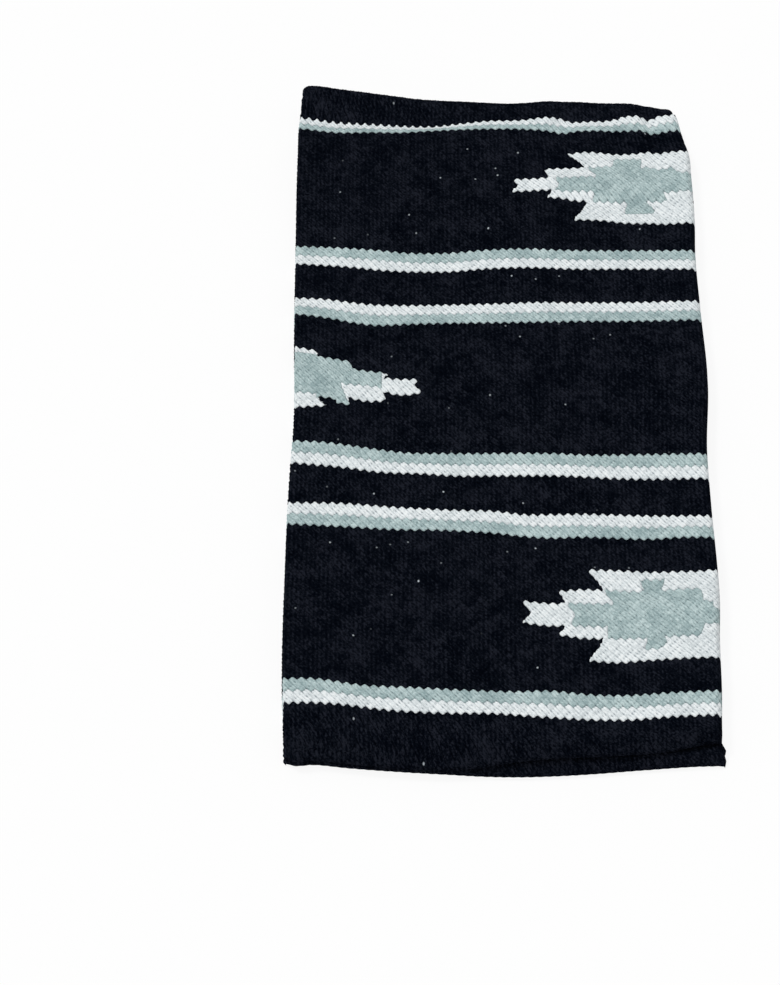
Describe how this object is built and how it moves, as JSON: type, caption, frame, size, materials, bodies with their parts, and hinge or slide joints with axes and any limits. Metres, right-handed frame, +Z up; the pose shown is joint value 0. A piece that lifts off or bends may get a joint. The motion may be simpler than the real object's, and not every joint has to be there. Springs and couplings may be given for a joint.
{
  "type": "saddle blanket",
  "caption": "Double-weave striped saddle blanket with stepped diamonds, folded in four; the upper half unfolds about the crest of the cross fold.",
  "frame": {"origin": "centre of the folded blanket's footprint, at the height of its underside", "axes": "+X towards the long fold, +Y towards the crest of the cross fold, +Z up through the four leaves"},
  "size_m": [0.382, 0.762, 0.024],
  "materials": {
    "navy_yarn": "near-black navy wool weft, matt, packed hard over the warp",
    "white_yarn": "natural white wool weft, matt",
    "grey_yarn": "pale bluish grey wool weft, matt"
  },
  "bodies": {
    "lower_half": {"under_navy_field_1": "navy_yarn", "under_navy_field_2": "navy_yarn", "under_navy_field_3": "navy_yarn", "under_navy_field_4": "navy_yarn", "under_navy_field_5": "navy_yarn", "under_navy_field_6": "navy_yarn", "under_navy_field_7": "navy_yarn", "under_white_stripe_1": "white_yarn", "under_grey_stripe_1": "grey_yarn", "under_white_stripe_2": "white_yarn", "under_grey_stripe_2": "grey_yarn", "under_white_stripe_3": "white_yarn", "under_grey_stripe_3": "grey_yarn", "under_white_stripe_4": "white_yarn", "under_grey_stripe_4": "grey_yarn", "under_white_stripe_5": "white_yarn", "under_grey_stripe_5": "grey_yarn", "under_white_stripe_6": "white_yarn", "under_grey_stripe_6": "grey_yarn", "under_diamond_1_border": "white_yarn", "under_diamond_1_core": "grey_yarn", "under_diamond_2_border": "white_yarn", "under_diamond_2_core": "grey_yarn", "under_diamond_3_border": "white_yarn", "under_diamond_3_core": "grey_yarn", "lower_inner_leaf": "navy_yarn"},
    "upper_half": {"top_navy_field_1": "navy_yarn", "top_navy_field_2": "navy_yarn", "top_navy_field_3": "navy_yarn", "top_navy_field_4": "navy_yarn", "top_navy_field_5": "navy_yarn", "top_navy_field_6": "navy_yarn", "top_navy_field_7": "navy_yarn", "top_white_stripe_1": "white_yarn", "top_grey_stripe_1": "grey_yarn", "top_white_stripe_2": "white_yarn", "top_grey_stripe_2": "grey_yarn", "top_white_stripe_3": "white_yarn", "top_grey_stripe_3": "grey_yarn", "top_white_stripe_4": "white_yarn", "top_grey_stripe_4": "grey_yarn", "top_white_stripe_5": "white_yarn", "top_grey_stripe_5": "grey_yarn", "top_white_stripe_6": "white_yarn", "top_grey_stripe_6": "grey_yarn", "top_diamond_1_border": "white_yarn", "top_diamond_1_core": "grey_yarn", "top_diamond_2_border": "white_yarn", "top_diamond_2_core": "grey_yarn", "top_diamond_3_border": "white_yarn", "top_diamond_3_core": "grey_yarn", "upper_inner_leaf": "navy_yarn"}
  },
  "joints": [
    {"name": "unfold", "type": "hinge", "parent": "lower_half", "child": "upper_half", "pos_m": [0, 0.38115, 0.012], "axis": [-1, 0, 0], "range_deg": [0, 180]}
  ]
}
